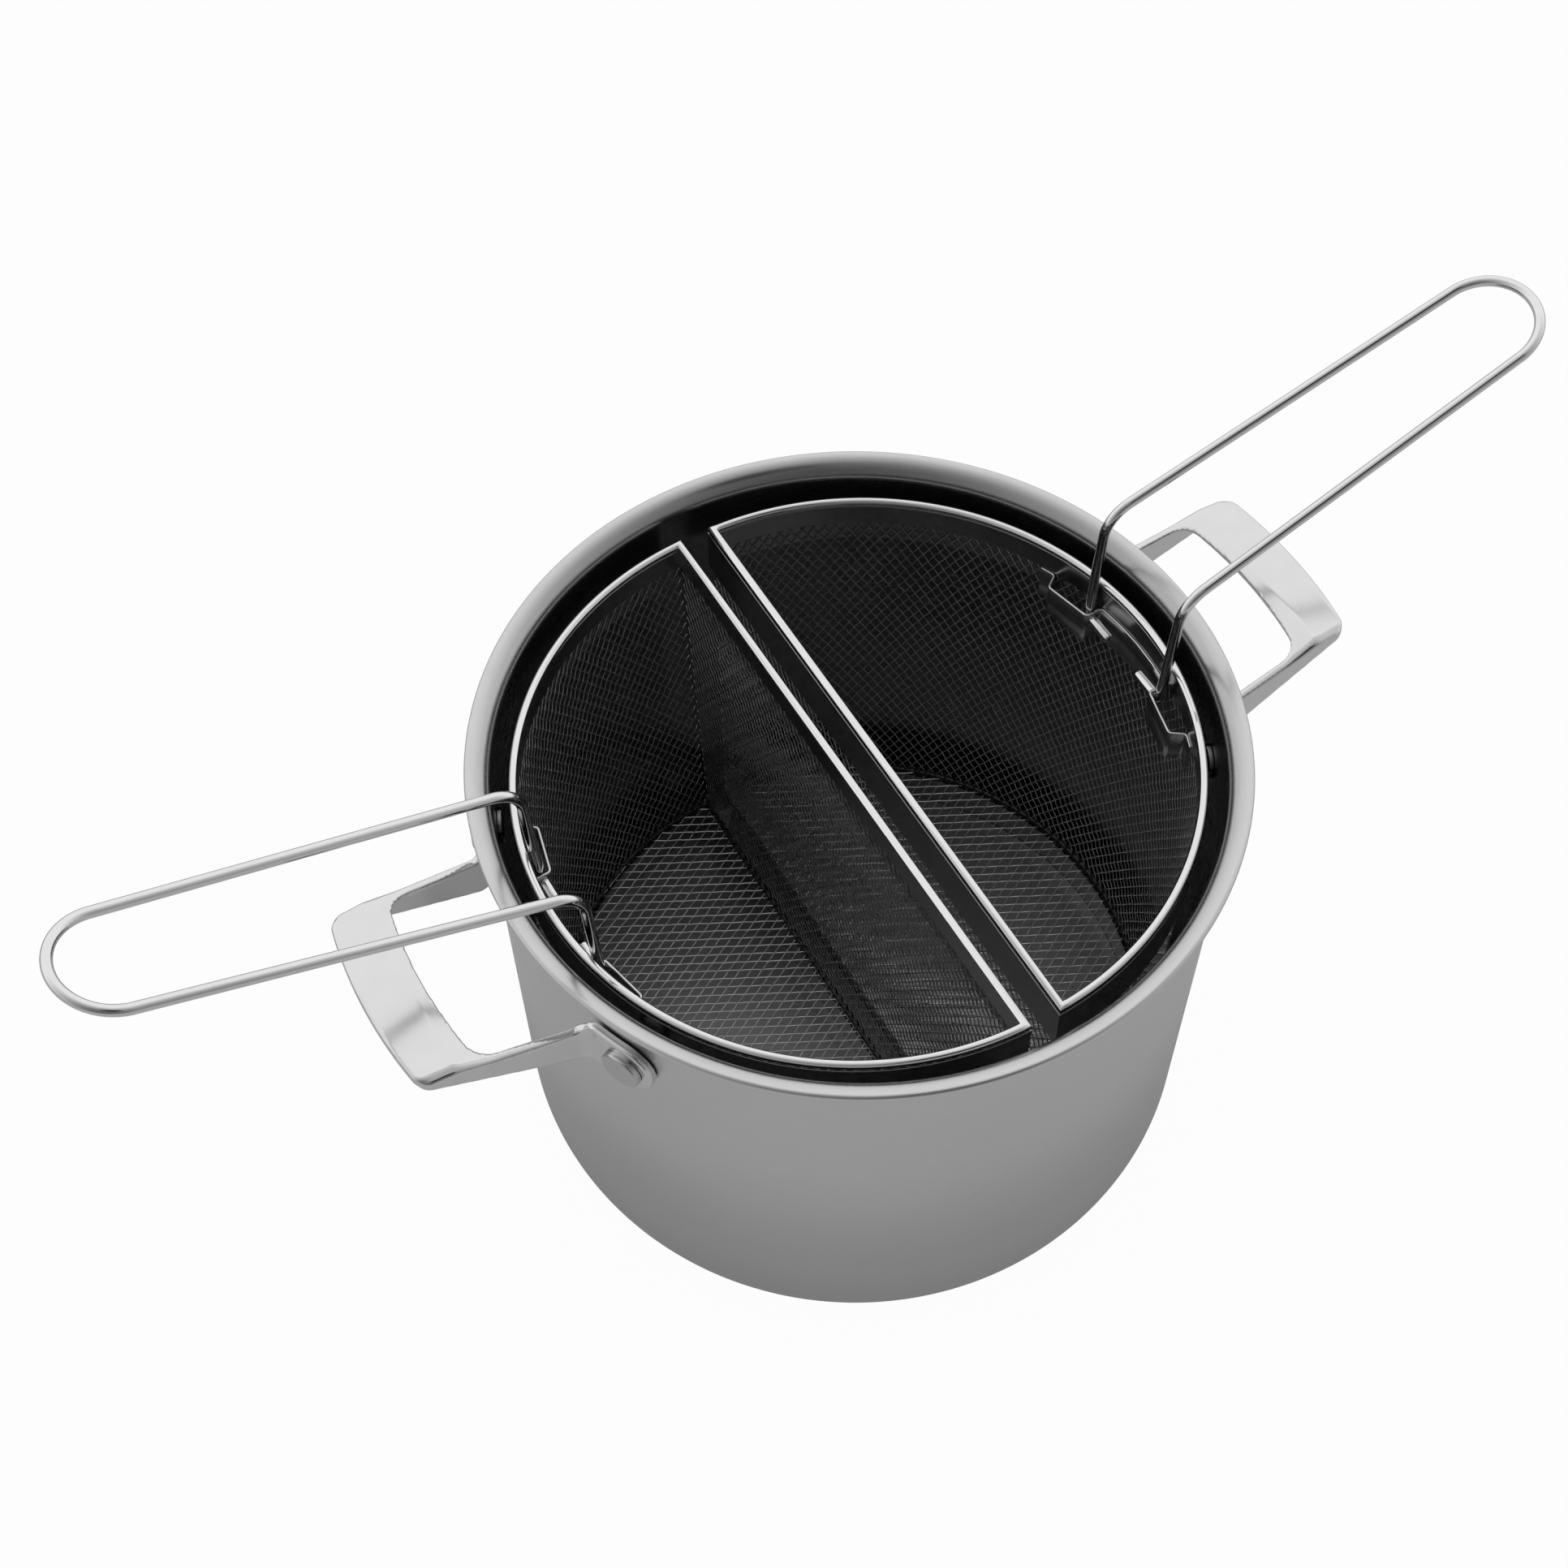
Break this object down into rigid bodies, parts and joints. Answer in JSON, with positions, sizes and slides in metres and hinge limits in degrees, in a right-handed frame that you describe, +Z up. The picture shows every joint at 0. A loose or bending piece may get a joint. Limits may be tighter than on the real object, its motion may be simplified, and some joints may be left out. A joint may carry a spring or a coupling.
{
  "type": "pasta pot",
  "caption": "Pasta pot with a flared pouring rim, cast side handles, and lift-out half-moon mesh baskets that have pinned wire handles.",
  "frame": {"origin": "centre of the pot's base, on the surface it stands on", "axes": "+Z up, X through both cast side handles, Y along the baskets' flat walls"},
  "size_m": [0.513, 0.256, 0.2631],
  "materials": {
    "pot_steel": "satin outside, polished inside",
    "cast_steel": "polished casting",
    "rivet_steel": "satin",
    "bright_wire": "polished",
    "band_steel": "polished sheet",
    "bracket_steel": "polished sheet",
    "mesh_steel": "woven wire"
  },
  "bodies": {
    "pot": {"pot_body": "pot_steel", "side_handle_right": "cast_steel", "side_handle_left": "cast_steel", "rivet_right_back": "rivet_steel", "rivet_right_front": "rivet_steel", "rivet_left_back": "rivet_steel", "rivet_left_front": "rivet_steel"},
    "basket_right": {"basket_right_rim_bead": "bright_wire", "basket_right_outer_band": "band_steel", "basket_right_inner_band": "band_steel", "basket_right_curved_net": "mesh_steel", "basket_right_flat_net": "mesh_steel", "basket_right_floor_net": "mesh_steel", "basket_right_bottom_hem": "mesh_steel", "basket_right_foot_band": "band_steel", "basket_right_handle_bracket": "bracket_steel"},
    "basket_left": {"basket_left_rim_bead": "bright_wire", "basket_left_outer_band": "band_steel", "basket_left_inner_band": "band_steel", "basket_left_curved_net": "mesh_steel", "basket_left_flat_net": "mesh_steel", "basket_left_floor_net": "mesh_steel", "basket_left_bottom_hem": "mesh_steel", "basket_left_foot_band": "band_steel", "basket_left_handle_bracket": "bracket_steel"},
    "wire_handle_right": {"basket_right_wire_handle": "bright_wire"},
    "wire_handle_left": {"basket_left_wire_handle": "bright_wire"}
  },
  "joints": [
    {"name": "basket_right_lift", "type": "slide", "parent": "pot", "child": "basket_right", "axis": [0, 0, 1], "range_m": [0, 0.2]},
    {"name": "basket_left_lift", "type": "slide", "parent": "pot", "child": "basket_left", "axis": [0, 0, 1], "range_m": [0, 0.2]},
    {"name": "wire_handle_right_tilt", "type": "hinge", "parent": "basket_right", "child": "wire_handle_right", "pos_m": [0.10693, 0, 0.164], "axis": [0, -1, 0], "range_deg": [0, 12]},
    {"name": "wire_handle_left_tilt", "type": "hinge", "parent": "basket_left", "child": "wire_handle_left", "pos_m": [-0.10693, 0, 0.164], "axis": [0, 1, 0], "range_deg": [0, 12]}
  ]
}
